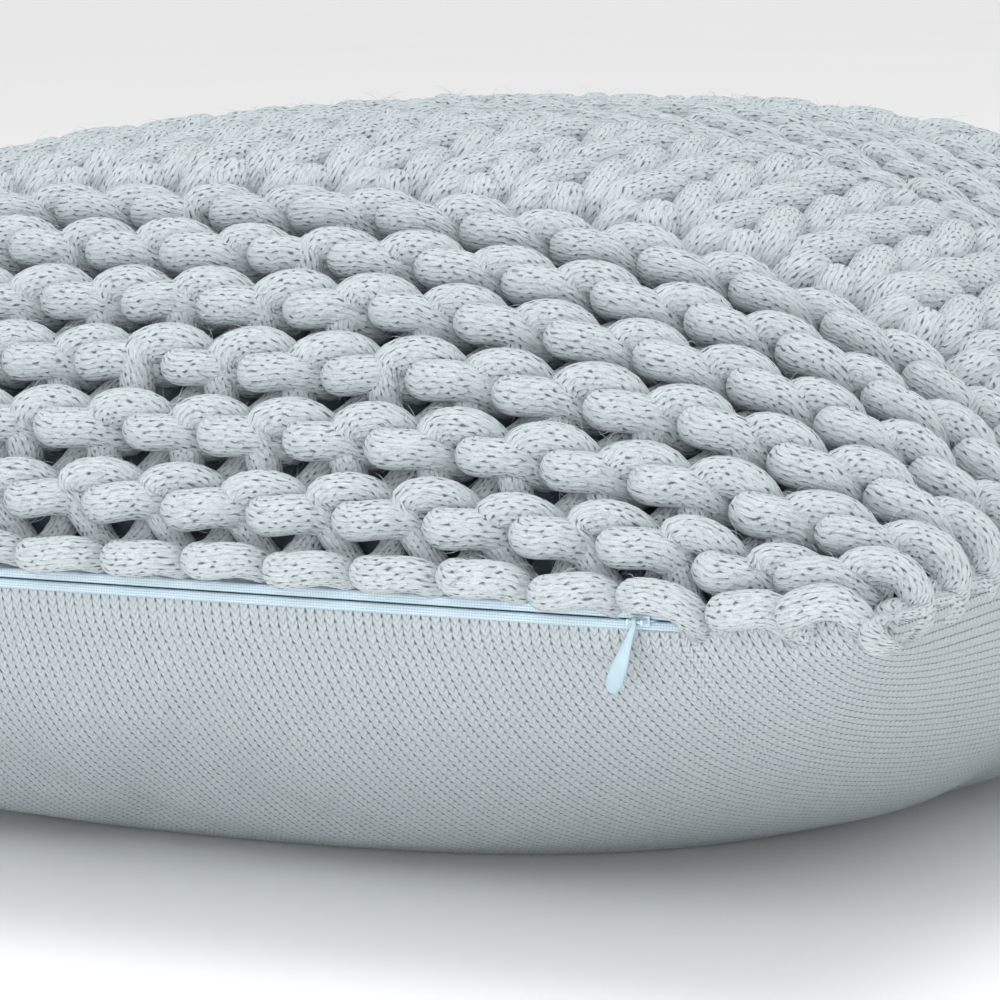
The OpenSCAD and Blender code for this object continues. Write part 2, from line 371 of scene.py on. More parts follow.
def fibres(parts, count, near):
    """Loose fibre ends on tubes: thin closed hairs that rise from the yarn and lean along it.
    parts are (points, faces, uv) of tubes, count the hairs on each, and near the half size
    of a hair at its root."""
    hairs = []
    for points, _, _ in parts:
        rings = points.reshape(-1, YARN_SIDES, 3)
        middle = rings.mean(1)
        ring = rng.integers(4, len(rings) - 6, count)
        side = rng.integers(0, YARN_SIDES, count)
        root = rings[ring, side]
        outward = root - middle[ring]
        outward /= np.maximum(np.linalg.norm(outward, axis=1, keepdims=True), 1e-9)
        along = middle[ring + 1] - middle[ring - 1]
        along /= np.maximum(np.linalg.norm(along, axis=1, keepdims=True), 1e-9)
        around = np.cross(along, outward)
        lean = (along * rng.choice([-1.0, 1.0], count)[:, None]
                + around * rng.normal(0, 0.5, count)[:, None])
        length = rng.uniform(2.5, 6.5, count)[:, None] * MM
        lift = rng.uniform(0.1, 0.45, count)[:, None]
        curl = rng.normal(0, 0.35, count)[:, None]
        root = root - outward * 0.4 * MM
        line = [root + length * (f * lean + lift * math.sin(2.2 * f) * outward
                                 + curl * f * f * around)
                for f in (0, 0.35, 0.7, 1.0)]
        rod = np.stack(line, 1)
        width = np.array([1.0, 0.9, 0.6, 0.1]) * near
        angle = np.arange(3) * 2 * np.pi / 3
        spread_out = (np.cos(angle)[None, None, :, None] * outward[:, None, None]
                      + np.sin(angle)[None, None, :, None] * around[:, None, None])
        hairs.append((rod[:, :, None] + spread_out * width[None, :, None, None])
                     .reshape(-1, 12, 3))
    hairs = np.concatenate(hairs)
    sides = [(3 * i + k, 3 * i + (k + 1) % 3, 3 * i + 3 + (k + 1) % 3, 3 * i + 3 + k)
             for i in range(3) for k in range(3)]
    faces = (np.arange(len(hairs))[:, None, None] * 12 + np.array(sides)).reshape(-1, 4)
    return hairs.reshape(-1, 3), faces


def joined(parts):
    """Several (points, faces, uv) as one."""
    points, faces, uvs, start = [], [], [], 0
    for p, f, uv in parts:
        points.append(p)
        faces.append(f + start)
        uvs.append(uv)
        start += len(p)
    return np.concatenate(points), np.concatenate(faces), np.concatenate(uvs)


# ---------------------------------------------------------------- materials

def new_material(name):
    material = bpy.data.materials.new(name)
    material.use_nodes = True
    nodes = material.node_tree.nodes
    return material, nodes, material.node_tree.links, nodes["Principled BSDF"]


def math_node(nodes, links, operation, *inputs):
    node = nodes.new("ShaderNodeMath")
    node.operation = operation
    for i, value in enumerate(inputs):
        if isinstance(value, (int, float)):
            node.inputs[i].default_value = value
        else:
            links.new(value, node.inputs[i])
    return node.outputs[0]


def stitch_pattern(nodes, links, x, y, wale, course, slant, hole, crease):
    """A fine knit of V stitches in columns, wale wide along x and course long along y. Gives
    its height, 0 between strands and 1 on them, and 1 inside the pin-holes between columns.
    With no crease, the middle of a column looks like the gap between two of them."""
    def m(operation, *inputs):
        return math_node(nodes, links, operation, *inputs)
    side = m("MULTIPLY", m("ABSOLUTE", m("SUBTRACT", m("FRACT", m("DIVIDE", x, wale)), 0.5)), 2)
    run = m("FRACT", m("ADD", m("DIVIDE", y, course), m("MULTIPLY", side, slant)))
    across = m("SINE", m("MULTIPLY", m("MULTIPLY_ADD", side, 1 - crease, crease), math.pi))
    length = m("POWER", m("SINE", m("MULTIPLY", run, math.pi)), 0.4)
    from_gap = m("SUBTRACT", 1.0, side) if crease else m("PINGPONG", side, 0.5)
    from_joint = m("PINGPONG", run, 0.5)
    wide = m("DIVIDE", m("MULTIPLY", from_gap, wale / 2), hole[0])
    long = m("DIVIDE", m("MULTIPLY", from_joint, course), hole[1])
    near = m("SQRT", m("ADD", m("MULTIPLY", wide, wide), m("MULTIPLY", long, long)))
    height = m("MULTIPLY", m("POWER", across, 0.6), length)
    return height, m("SUBTRACT", 1.0, m("MINIMUM", near, 1.0))


def ramp(nodes, links, value, stops):
    """Colours that follow a value, as (position, colour) stops."""
    node = nodes.new("ShaderNodeValToRGB")
    elements = node.color_ramp.elements
    while len(elements) < len(stops):
        elements.new(0.5)
    for element, (position, color) in zip(elements, stops):
        element.position = position
        element.color = (*color, 1)
    links.new(value, node.inputs[0])
    return node.outputs["Color"]


def noise(nodes, links, vector, scale, detail=3.0, roughness=0.6):
    node = nodes.new("ShaderNodeTexNoise")
    node.inputs["Scale"].default_value = scale
    node.inputs["Detail"].default_value = detail
    node.inputs["Roughness"].default_value = roughness
    links.new(vector, node.inputs["Vector"])
    return node.outputs[0]


def bump(nodes, links, height, distance, strength=1.0, below=None):
    node = nodes.new("ShaderNodeBump")
    node.inputs["Distance"].default_value = distance
    node.inputs["Strength"].default_value = strength
    links.new(height, node.inputs["Height"])
    if below is not None:
        links.new(below, node.inputs["Normal"])
    return node.outputs[0]


def mixed(nodes, links, factor, a, b):
    """Colour a with a share of colour b."""
    node = nodes.new("ShaderNodeMix")
    node.data_type = "RGBA"
    for name, value in (("Factor", factor), ("A", a), ("B", b)):
        socket = next(s for s in node.inputs if s.name == name
                      and s.type == ("VALUE" if name == "Factor" else "RGBA"))
        if isinstance(value, tuple):
            socket.default_value = (*value, 1)
        else:
            links.new(value, socket)
    return next(s for s in node.outputs if s.type == "RGBA")


def streaks(nodes, links, split):
    """Fibres that run along a thread or a column of stitches."""
    stretched = nodes.new("ShaderNodeCombineXYZ")
    for source, target, scale in ((0, 0, 380), (1, 1, 1500)):
        links.new(math_node(nodes, links, "MULTIPLY", split.outputs[source], scale),
                  stretched.inputs[target])
    return noise(nodes, links, stretched.outputs[0], 1.0, 4, 0.65)


def fabric(name, knit, light, dark, depth, pull=0.0, patchy=0.0, sheen=0.3, fuzz=0.2):
    """A fine knit on the UV map named yarn, with fuzz. light is its colour, and dark is painted
    shade in its pin-holes; a mix of the two is painted shade in the grooves between its strands
    and also colours its random fibre flecks. knit is its column width, stitch length, slant,
    hole size and crease. Noise moves its strands by up to pull, and patchy closes that share of
    its holes."""
    material, nodes, links, shader = new_material(name)

    def m(operation, *inputs):
        return math_node(nodes, links, operation, *inputs)
    uv = nodes.new("ShaderNodeUVMap")
    uv.uv_map = "yarn"
    split = nodes.new("ShaderNodeSeparateXYZ")
    place = nodes.new("ShaderNodeTexCoord").outputs["Object"]
    links.new(uv.outputs[0], split.inputs[0])
    shift = m("MULTIPLY", m("SUBTRACT", noise(nodes, links, place, 210, 2), 0.5), pull)
    other = m("MULTIPLY", m("SUBTRACT", noise(nodes, links, place, 150, 2), 0.5), 2 * pull)
    height, holes = stitch_pattern(nodes, links, m("ADD", split.outputs[1], shift),
                                   m("ADD", split.outputs[0], other), *knit)
    patch = noise(nodes, links, place, 260, 2)
    open_share = m("MULTIPLY_ADD", m("SUBTRACT", patch, 0.5), 6 * patchy, 1 - 0.5 * patchy)
    holes = m("MULTIPLY", holes, m("MINIMUM", m("MAXIMUM", open_share, 0.0), 1.0))
    fibre = m("ADD", m("MULTIPLY", noise(nodes, links, place, 2200, 3, 0.7), 0.35),
              m("MULTIPLY", streaks(nodes, links, split), 0.65))
    cloud = noise(nodes, links, place, 30, 2)
    tone = m("MULTIPLY_ADD", m("SUBTRACT", cloud, 0.5), 0.35, height)
    # Painted shade: where the height is low, in the grooves between strands, the colour goes
    # towards soft, a mix of light and dark; soft also colours the random fibre flecks.
    soft = tuple(0.55 * a + 0.45 * b for a, b in zip(light, dark))
    color = ramp(nodes, links, tone, [(0.0, soft), (0.3, light), (1.0, light)])
    shade = ramp(nodes, links, fibre, [(0.4, (1.0, 1.0, 1.0)), (0.55, (0.0, 0.0, 0.0))])
    color = mixed(nodes, links, m("MULTIPLY", shade, fuzz), color, soft)
    # Painted shade: the pin-holes are coloured dark.
    color = mixed(nodes, links, m("MINIMUM", m("MULTIPLY", holes, 1.7), 1.0), color, dark)
    links.new(color, shader.inputs["Base Color"])
    relief = m("SUBTRACT", height, m("MULTIPLY", holes, 0.8))
    fine_bump = bump(nodes, links, fibre, 1.8 * MM * fuzz, 1.0)
    links.new(bump(nodes, links, relief, depth, 1.0, fine_bump), shader.inputs["Normal"])
    shader.inputs["Roughness"].default_value = 0.92
    shader.inputs["Specular IOR Level"].default_value = 0.2
    shader.inputs["Sheen Weight"].default_value = sheen
    shader.inputs["Sheen Roughness"].default_value = 0.5
    shader.inputs["Sheen Tint"].default_value = (*light, 1)
    return material


def hard(name, light, roughness, speckle=0.04, coat=0.0):
    """Enamelled metal or moulded plastic with a faint grain."""
    material, nodes, links, shader = new_material(name)
    place = nodes.new("ShaderNodeTexCoord").outputs["Object"]
    grain = noise(nodes, links, place, 900, 3)
    patch = noise(nodes, links, place, 120, 2)
    dark = tuple(c * (1 - 3 * speckle) for c in light)
    links.new(ramp(nodes, links, patch, [(0.3, dark), (0.7, light)]),
              shader.inputs["Base Color"])
    rough = math_node(nodes, links, "MULTIPLY_ADD", grain, 0.12, roughness - 0.06)
    links.new(rough, shader.inputs["Roughness"])
    links.new(bump(nodes, links, grain, 0.03 * MM, 0.5), shader.inputs["Normal"])
    shader.inputs["Coat Weight"].default_value = coat
    return material


def fine_knit(wale, course, slant, hole_wide, hole_long, crease=0.0):
    """A knit's sizes in millimetres, for fabric()."""
    return wale * MM, course * MM, slant, (hole_wide * MM, hole_long * MM), crease


YARN_COLUMNS = 11                 # columns of stitches round the yarn
yarn_wale = 2 * math.pi * YARN_R / YARN_COLUMNS / MM
# The second colour of each fabric below is painted shade in its pin-holes; mixed with the first
# it is painted shade in the grooves between its strands.
yarn_material = fabric("knit_yarn_look", fine_knit(yarn_wale, 3.3, 0.5, 0.4, 0.9),
                       (0.63, 0.69, 0.715), (0.12, 0.155, 0.18), 0.24 * MM, 2.6 * MM, 0.85,
                       0.4, 0.62)
jersey_material = fabric("jersey_look", fine_knit(3.5, 2.6, 0.8, 0.5, 0.9, 0.2),
                         (0.535, 0.59, 0.615), (0.14, 0.17, 0.19), 0.5 * MM, 0.8 * MM, 0.4,
                         0.3, 0.4)
# The lining's dark colour is painted shade for the gaps between the knit's loops, where it shows
# through.
lining_shade_material = fabric("lining_shade_look", fine_knit(0.6, 0.6, 0.0, 0.1, 0.1),
                         (0.2, 0.26, 0.31), (0.1, 0.13, 0.16), 0.1 * MM, 0.1 * MM)
tape_material = fabric("zipper_tape_look", fine_knit(0.75, 0.9, 0.6, 0.16, 0.3, 0.1),
                       (0.6, 0.735, 0.815), (0.3, 0.43, 0.52), 0.12 * MM, 0.03 * MM, 0.0, 0.1)
thread_material = fabric("seam_look", fine_knit(1.5, 1.2, 0.5, 0.2, 0.4),
                         (0.55, 0.62, 0.66), (0.2, 0.24, 0.28), 0.2 * MM, 0.1 * MM)
casing_material = fabric("casing_look", fine_knit(0.5, 0.5, 0.0, 0.1, 0.1),
                         (0.86, 0.86, 0.84), (0.6, 0.6, 0.58), 0.08 * MM, 0.1 * MM, 0.0, 0.1)
label_material = fabric("label_look", fine_knit(0.35, 0.35, 0.0, 0.05, 0.05),
                        (0.88, 0.88, 0.86), (0.7, 0.7, 0.68), 0.04 * MM, 0.0, 0.0, 0.1)
fibre_material = fabric("fibre_look", fine_knit(3.0, 9.0, 2.0, 0.5, 2.0),
                        (0.93, 0.93, 0.92), (0.7, 0.7, 0.7), 1.0 * MM, 4.0 * MM, 0.5)
# The loose fibres are coloured lighter than the yarn they come from: painted highlight where
# light catches them.
fuzz_highlight_material = fabric("fuzz_highlight_look", fine_knit(1.0, 1.0, 0.0, 0.1, 0.1),
                       (0.72, 0.785, 0.805), (0.5, 0.56, 0.6), 0.01 * MM, 0.1 * MM, 0.9,
                       0.3, 0.2)
coil_material = hard("coil_look", (0.66, 0.79, 0.87), 0.45)
metal_material = hard("slider_look", (0.56, 0.7, 0.78), 0.38, 0.05, 0.3)
pull_material = hard("pull_look", (0.42, 0.56, 0.63), 0.32, 0.05, 0.3)


# ---------------------------------------------------------------- chunky knit

row_kind = np.concatenate([np.full(n, 1.0 if k % 2 == 0 else -1.0)
                           for k, n in enumerate(BANDS)] + [[1.0]])


def wander(t, size, parts=4):
    """A smooth random wave along a row."""
    total = 0 * t
    for _ in range(parts):
        total = total + np.sin(rng.uniform(0.2, 1.4) * t + rng.uniform(0, 6.28))
    return size * total / math.sqrt(parts)


def seam_tuck(stitches, out):
    """Pulls the yarn in towards the fabric where a row runs into a side seam."""
    edge = np.minimum(stitches, WALES - stitches)
    return out + (-TUCK - out) * (1 - ease(edge / 0.4))


def end_taper(stitches):
    """Share of the yarn's thickness that is left near the ends of a row."""
    edge = np.minimum(stitches, WALES - stitches)
    return (0.8 + 0.2 * ease(edge / 0.3)) * np.sqrt(np.clip(edge / 0.1, 1e-4, 1))


def course(low, rise, kinds, lobe_shift=0.0, size=YARN_R):
    """One row of loops across the panel. low is where its lobes lie, rise half its height,
    and kinds say whether its lobes and its heads are purled (1) or knitted (-1). lobe_shift
    moves the lobes sideways, in stitch widths, against the heads."""
    t = np.linspace(0, 2 * np.pi * WALES, WALES * PER_STITCH + 1)
    stitches = t / (2 * np.pi)
    head = (1 - np.cos(t)) / 2
    kind = kinds[0] + (kinds[1] - kinds[0]) * ease(head * 2 - 0.5)
    purl = (1 + kind) / 2
    wave = np.cos(2 * t + PURL_TWIST * purl)
    flat = 1.8 - 0.5 * purl
    swing = np.tanh(flat * wave) / np.tanh(flat)
    out = KNIT_OUT + KNIT_DEPTH * swing * kind + wander(t, 0.6 * MM)
    shift = lobe_shift * (1 - head) * ease((WALES - stitches) / 2)
    x = FIRST_WALE + stitches + LOOP_SIDE * np.sin(2 * t) + shift + wander(t, 0.03)
    y = (low + rise * (1 - np.cos(t) - LOOP_FLAT * (np.cos(3 * t) - 1))
         + PURL_LEAN * purl * np.sin(2 * t) + wander(t, 0.035))
    y = np.minimum(y, ROW_SPAN - FAR_EDGE)
    path, normal = on_knit(2 * x / WALE_SPAN, 2 * y / ROW_SPAN - 1, seam_tuck(stitches, out))
    fat = 1 + KNIT_FAT * (1 - purl) + LOBE_FAT * wave * kind + wander(t, 0.035)
    return tube(path, normal, size * fat * end_taper(stitches), YARN_SIDES)


def edge_row(y, out_at_crest, rise, size):
    """The cast-off row: a line of short lobes along the far edge of the knit."""
    t = np.linspace(0, 2 * np.pi * WALES, WALES * PER_STITCH + 1)
    stitches = t / (2 * np.pi)
    lobe = (1 + np.cos(t - 2.44)) / 2
    out = out_at_crest - TUCK * (1 - lobe)
    x = FIRST_WALE + stitches + 0.09 * np.sin(2 * t) + wander(t, 0.02)
    path, normal = on_knit(2 * x / WALE_SPAN, 2 * (y + rise * (1 - lobe)) / ROW_SPAN - 1,
                           seam_tuck(stitches, out + wander(t, 0.3 * MM)))
    return tube(path, normal, size * (1 + wander(t, 0.02)) * end_taper(stitches), YARN_SIDES)


def knit_pieces():
    """The rows and their loose fibres, a piece for each band, with an edge row in the first
    and in the last."""
    row = 0
    for number, count in enumerate(BANDS):
        parts = [course(FIRST_ROW + r, LOOP_RISE, row_kind[r:r + 2])
                 for r in range(row, row + count)]
        if number == 0:
            first_heads = FIRST_ROW - 1 + 2 * LOOP_RISE
            parts.append(course(EDGE_LOW, (first_heads - EDGE_LOW) / 2, (1, 1), 0.5,
                                0.9 * YARN_R))
        if number == len(BANDS) - 1:
            parts.append(edge_row(ROW_SPAN - 0.1, 6 * MM, -0.3, 4.7 * MM))
        points, faces, uv = joined(parts)
        piece = mesh_object(f"knit_band_{number + 1}", points, faces, "pillow", uv,
                            yarn_material)
        points, faces = fibres(parts, FIBRES_PER_ROW, HAIR)
        mesh_object(f"knit_fuzz_{number + 1}", points, faces, "pillow", None, fuzz_highlight_material)
        if number == 0:
            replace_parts(piece, "front_panel")
        row += count


knit_pieces()


# ---------------------------------------------------------------- panels

def panel(name, points, material, flip, replaces):
    """An open sheet over a grid of points, with its own lengths as its UV map. It stands for
    the CAD node in replaces."""
    rows, columns = points.shape[0], points.shape[1]
    a, b, lu, lv = arc_lengths(points)
    x, y = a * lu[rows // 2, 0] / 2, b * lv[0, columns // 2] / 2
    i, j = np.meshgrid(np.arange(columns - 1), np.arange(rows - 1))
    first = (j * columns + i).ravel()
    quads = np.stack([first, first + 1, first + 1 + columns, first + columns], 1)
    if flip:
        quads = quads[:, ::-1]
    uv = np.stack([y.ravel()[quads], x.ravel()[quads]], -1)
    piece = mesh_object(name, points.reshape(-1, 3), quads, "pillow", uv, material)
    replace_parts(piece, replaces)
    return piece


def thickened(piece, thickness):
    """Gives a sheet its thickness on the inner side, with closed edges."""
    solid = piece.modifiers.new("thickness", "SOLIDIFY")
    solid.thickness = thickness
    solid.offset = -1


def rim_grid(count):
    """A grid over [-1, 1] by [-1, 1] that is closer towards its rim."""
    spread = np.sin(np.linspace(-math.pi / 2, math.pi / 2, count))
    return np.meshgrid(spread, spread)


wide_u, wide_v = rim_grid(201)
coarse_u, coarse_v = rim_grid(65)

EDGE_RISE = 3.5 * MM              # the jersey's edge at the other seams, above the seam
EDGE_DROP = 2.6 * MM              # the jersey's edge beside the zipper, below the seam
JERSEY_THICK = 2.3 * MM
WOVEN_THICK = 0.8 * MM            # the lining and the insert's casing
LINING_INSET = 9.3 * MM
CASING_INSET = 14 * MM
FILL_INSET = 17.5 * MM


def jersey():
    """The jersey back with its folds, flat on the floor, rolled up at the seams and down
    beside the zipper."""
    low = bottom_surface(wide_u, wide_v)
    above_floor = ease(low[..., 2] / (12 * MM))
    shaped = folded(low, bottom_folds, wide_u, wide_v, JERSEY_FOLD, -1)
    points = low + (shaped - low) * above_floor[..., None]
    points[..., 2] = np.maximum(points[..., 2], 0)
    from_rim = (1 - np.maximum(np.abs(wide_u), np.abs(wide_v))) * HALF
    rim = ease(1 - from_rim / (6 * MM))
    beside = ease((upper_high.x + 4 * MM - np.abs(points[..., 0])) / (8 * MM))
    beside *= wide_v < -0.9
    points[..., 2] += rim * (EDGE_RISE * (1 - beside) - EDGE_DROP * beside)
    piece = panel("jersey_back", points, jersey_material, True, "back_panel")
    thickened(piece, JERSEY_THICK)


def inner_panels():
    """The lining behind the knit, and the two halves of the insert's casing."""
    lining = panel("lining", top_surface(wide_u, wide_v, LINING_INSET, 1 * MM),
                   lining_shade_material, False, "front_lining")
    thickened(lining, WOVEN_THICK)
    top = panel("insert_casing_top",
                top_surface(coarse_u, coarse_v, CASING_INSET, 0.5 * MM),
                casing_material, False, "insert_top")
    low = panel("insert_casing_bottom",
                bottom_surface(coarse_u, coarse_v, CASING_INSET, 2.8 * MM),
                casing_material, True, "insert_bottom")
    for piece in (top, low):
        thickened(piece, WOVEN_THICK)


jersey()
inner_panels()


# ---------------------------------------------------------------- zipper

def swept(section, xs):
    """Points, faces and UVs of a closed (outward, up) section swept along the zipper."""
    section = np.asarray(section)
    sides = len(section)
    points = np.stack([np.repeat(xs, sides),
                       ZIPPER_Y - np.tile(section[:, 0], len(xs)),
                       SEAM_Z + np.tile(section[:, 1], len(xs))], -1)
    faces, i, k = ring_faces(len(xs), sides)
    gap = np.linalg.norm(np.roll(section, -1, 0) - section, axis=1)
    around = np.concatenate([[0], np.cumsum(gap)])
    uv = np.stack([np.stack([xs[i], xs[i], xs[i + 1], xs[i + 1]], -1),
                   np.stack([around[k], around[k + 1], around[k + 1], around[k]], -1)], -1)
    return points, faces, uv.reshape(-1, 2)


def capped(piece):
    """Closes a piece's open ends."""
    shape = bmesh.new()
    shape.from_mesh(piece.data)
    bmesh.ops.holes_fill(shape, edges=[e for e in shape.edges if e.is_boundary], sides=0)
    bmesh.ops.recalc_face_normals(shape, faces=shape.faces)
    shape.to_mesh(piece.data)
    shape.free()
    return piece


def zipper_tape(name, node, up):
    """A folded tape: a rounded fold that shows, and the flat width sewn in behind it."""
    low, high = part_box(node)
    width, front = high.y - ZIPPER_Y, ZIPPER_Y - low.y
    inner, outer = 0.55 * coil_gap, high.z - low.z + coil_gap
    round_half = (outer - inner) / 2
    turn = np.linspace(math.pi / 2, -math.pi / 2, 15)
    lip = np.stack([front - round_half * (1 - np.abs(np.cos(turn)) ** 0.5),
                    inner + round_half * (1 + np.sin(turn))], 1)
    flat = 0.6 * MM
    section = np.concatenate([[[-width, outer], [-width / 2, outer]], lip,
                              [[-1.2 * MM, inner], [-1.2 * MM, outer - flat],
                               [-width, outer - flat]]])
    section[:, 1] *= up
    points, faces, uv = swept(section, np.linspace(low.x, high.x, 160))
    capped(mesh_object(name, points, faces, "pillow", uv, tape_material))
    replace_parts(bpy.data.objects[name], node)


def zipper_coil(name, node, up):
    """A nylon coil: a fine helix behind the fold."""
    low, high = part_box(node)
    wire = 0.2 * MM
    radius = (high.z - low.z) / 2 - wire
    turns = int((high.x - low.x) / (1.3 * MM))
    t = np.linspace(0, 2 * np.pi * turns, turns * 10 + 1)
    x = np.linspace(low.x + wire, high.x - wire, len(t))
    out = np.stack([0 * t, np.cos(t), up * np.sin(t)], 1)
    middle = (np.array(low) + np.array(high)) / 2
    path = np.stack([x, 0 * x + middle[1], 0 * x + middle[2]], 1) + radius * out
    points, faces, uv = tube(path, out, wire, 5)
    capped(mesh_object(name, points, faces, "pillow", uv, coil_material))
    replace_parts(bpy.data.objects[name], node)


def soft_block(shape, low, high, radius, segments=3):
    """Adds a block with rounded edges to a bmesh."""
    low, high = Vector(low), Vector(high)
    place = Matrix.Translation((low + high) / 2) @ Matrix.Diagonal((*(high - low), 1))
    made = bmesh.ops.create_cube(shape, size=1, matrix=place)
    edges = {edge for vertex in made["verts"] for edge in vertex.link_edges}
    bmesh.ops.bevel(shape, geom=list(edges), offset=radius, segments=segments,
                    profile=0.5, affect="EDGES")


def from_bmesh(name, shape, body, material):
    """A smooth-shaded piece from a bmesh, with its edges over 40 degrees kept sharp."""
    mesh = bpy.data.meshes.new(name)
    shape.to_mesh(mesh)
    shape.free()
    mesh.polygons.foreach_set("use_smooth", np.ones(len(mesh.polygons), bool))
    mesh.set_sharp_from_angle(angle=math.radians(40))
    return finished(bpy.data.objects.new(name, mesh), body, material)


def zipper_stop(name, node):
    """A clamp moulded round the ends of both coils, with a groove across it."""
    low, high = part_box(node)
    shape = bmesh.new()
    third = (high.x - low.x) / 3
    soft_block(shape, low, (low.x + 1.1 * third, high.y, high.z), 0.35 * MM)
    soft_block(shape, (high.x - 1.1 * third, low.y, low.z), high, 0.35 * MM)
    waist = 0.25 * MM
    soft_block(shape, (low.x + 0.3 * MM, low.y + waist, low.z + waist),
               (high.x - 0.3 * MM, high.y - waist, high.z - waist), 0.2 * MM)
    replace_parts(from_bmesh(name, shape, "pillow", metal_material), node)


# The slider's parts, as distances out from the zipper's line
BACK_OUT = (-4.3 * MM, -5.7 * MM)
NECK_OUT = (2.0 * MM, -4.4 * MM)
PLATE_OUT = (2.6 * MM, 1.9 * MM)
LOOP_OUT = (5.7 * MM, 2.5 * MM)
LOOP_HALF = 2.6 * MM
LOOP_POST = 0.9 * MM
PIN_OUT = 4.9 * MM                # the pin that the pull tab swings on
PIN_R = 0.5 * MM
PIN_LONG = 5 * MM


def slider():
    """Back plate, neck, crowned front plate, and the loop that holds the pin."""
    x0, x1 = slider_low.x, slider_high.x
    middle = (x0 + x1) / 2
    shape = bmesh.new()

    def block(first, last, outs, half_high, radius, segments=3):
        low = (first, ZIPPER_Y - outs[0], SEAM_Z - half_high)
        high = (last, ZIPPER_Y - outs[1], SEAM_Z + half_high)
        soft_block(shape, low, high, radius, segments)
    block(x0, x1, BACK_OUT, 2 * MM, 0.4 * MM)
    block(x0, x1, NECK_OUT, 0.18 * MM, 0.08 * MM, 1)
    block(x0 + 1 * MM, x1 - 1 * MM, PLATE_OUT, 1.5 * MM, 0.3 * MM)
    for side in (-1, 1):
        outer = middle + side * LOOP_HALF
        inner = outer - side * LOOP_POST
        block(min(outer, inner), max(outer, inner), LOOP_OUT, 0.8 * MM, 0.35 * MM)
    pin = bmesh.ops.create_cone(shape, cap_ends=True, segments=20, radius1=PIN_R,
                                radius2=PIN_R, depth=PIN_LONG)
    turned = (Matrix.Translation((middle, ZIPPER_Y - PIN_OUT, SEAM_Z))
              @ Matrix.Rotation(math.pi / 2, 4, "Y"))
    bmesh.ops.transform(shape, matrix=turned, verts=pin["verts"])
    piece = from_bmesh("slider_body", shape, "slider", metal_material)
    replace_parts(piece, "zipper_slider")


PULL_LEAN = math.radians(22)
PULL_LONG = 21 * MM
PULL_NECK = 0.75 * MM             # half widths of the pull tab
PULL_BELLY = 2.5 * MM
PULL_THICK = 0.65 * MM            # half its thickness
PULL_WIDEST = 0.82                # share of its length where it is widest
EYE_MIDDLE = 1.1 * MM             # radius of the middle of the eye's ring
EYE_HALF = (0.75 * MM, 0.4 * MM)  # half width and half thickness of the ring
SLIVER = 0.02 * MM                # what is left of the tab's size at its very tip


def pull_drop(middle):
    """The teardrop's points and faces."""
    s = np.concatenate([[0.045, 0.05], np.linspace(0.06, PULL_WIDEST, 26)[1:],
                        PULL_WIDEST + (1 - PULL_WIDEST)
                        * np.sin(np.linspace(0, math.pi / 2, 13)[1:])])
    swell = (1 - np.cos(np.pi * np.minimum(s / PULL_WIDEST, 1))) / 2
    past = np.maximum(s - PULL_WIDEST, 0) / (1 - PULL_WIDEST)
    tip = np.sqrt(np.clip(1 - past ** 2, 0, 1))
    half = np.maximum((PULL_NECK + (PULL_BELLY - PULL_NECK) * swell) * tip, SLIVER)
    deep = np.maximum(PULL_THICK * tip ** 0.6, SLIVER)
    angle = np.linspace(0, 2 * np.pi, 25)[:-1]
    wide = np.sign(np.cos(angle)) * np.abs(np.cos(angle)) ** 0.8
    high = np.sign(np.sin(angle)) * np.abs(np.sin(angle)) ** 0.6
    x = half[:, None] * wide[None]
    z = -s[:, None] * PULL_LONG + 0 * x
    y = deep[:, None] * high[None]
    points = np.stack([middle + x * math.cos(PULL_LEAN) + z * math.sin(PULL_LEAN),
                       ZIPPER_Y - PIN_OUT + y,
                       SEAM_Z + z * math.cos(PULL_LEAN) - x * math.sin(PULL_LEAN)], -1)
    faces, _, _ = ring_faces(len(s), len(angle))
    return points.reshape(-1, 3), faces


def pull_eye(middle):
    """The ring round the slider's pin: its points and faces."""
    t = np.linspace(0, 2 * np.pi, 37)
    ring = np.stack([0 * t, np.cos(t), np.sin(t)], 1)
    across = np.linspace(0, 2 * np.pi, 13)[:-1]
    section = np.stack([EYE_HALF[0] * np.cos(across),
                        EYE_MIDDLE + EYE_HALF[1] * np.sin(across)], 1)
    points = (np.array([middle, ZIPPER_Y - PIN_OUT, SEAM_Z])
              + section[None, :, :1] * np.array([1, 0, 0])
              + section[None, :, 1:] * ring[:-1, None]).reshape(-1, 3)
    faces, _, _ = ring_faces(len(ring), len(across))
    return points, faces % len(points)


def pull():
    """An enamelled teardrop that hangs from the slider's pin by its eye."""
    middle = (slider_low.x + slider_high.x) / 2
    drop_points, drop_faces = pull_drop(middle)
    eye_points, eye_faces = pull_eye(middle)
    points = np.concatenate([drop_points, eye_points])
    faces = np.concatenate([drop_faces, eye_faces + len(drop_points)])
    piece = mesh_object("pull", points, faces, "pull", None, pull_material)
    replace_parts(capped(piece), "pull_tab")


coil_gap = upper_low.z - SEAM_Z
zipper_tape("tape_upper", "zipper_tape_upper", 1)
zipper_tape("tape_lower", "zipper_tape_lower", -1)
zipper_coil("coil_upper", "zipper_coil_upper", 1)
zipper_coil("coil_lower", "zipper_coil_lower", -1)
zipper_stop("top_stop", "zipper_top_stop")
zipper_stop("bottom_stop", "zipper_bottom_stop")
slider()
pull()


# ---------------------------------------------------------------- seams, label, filling

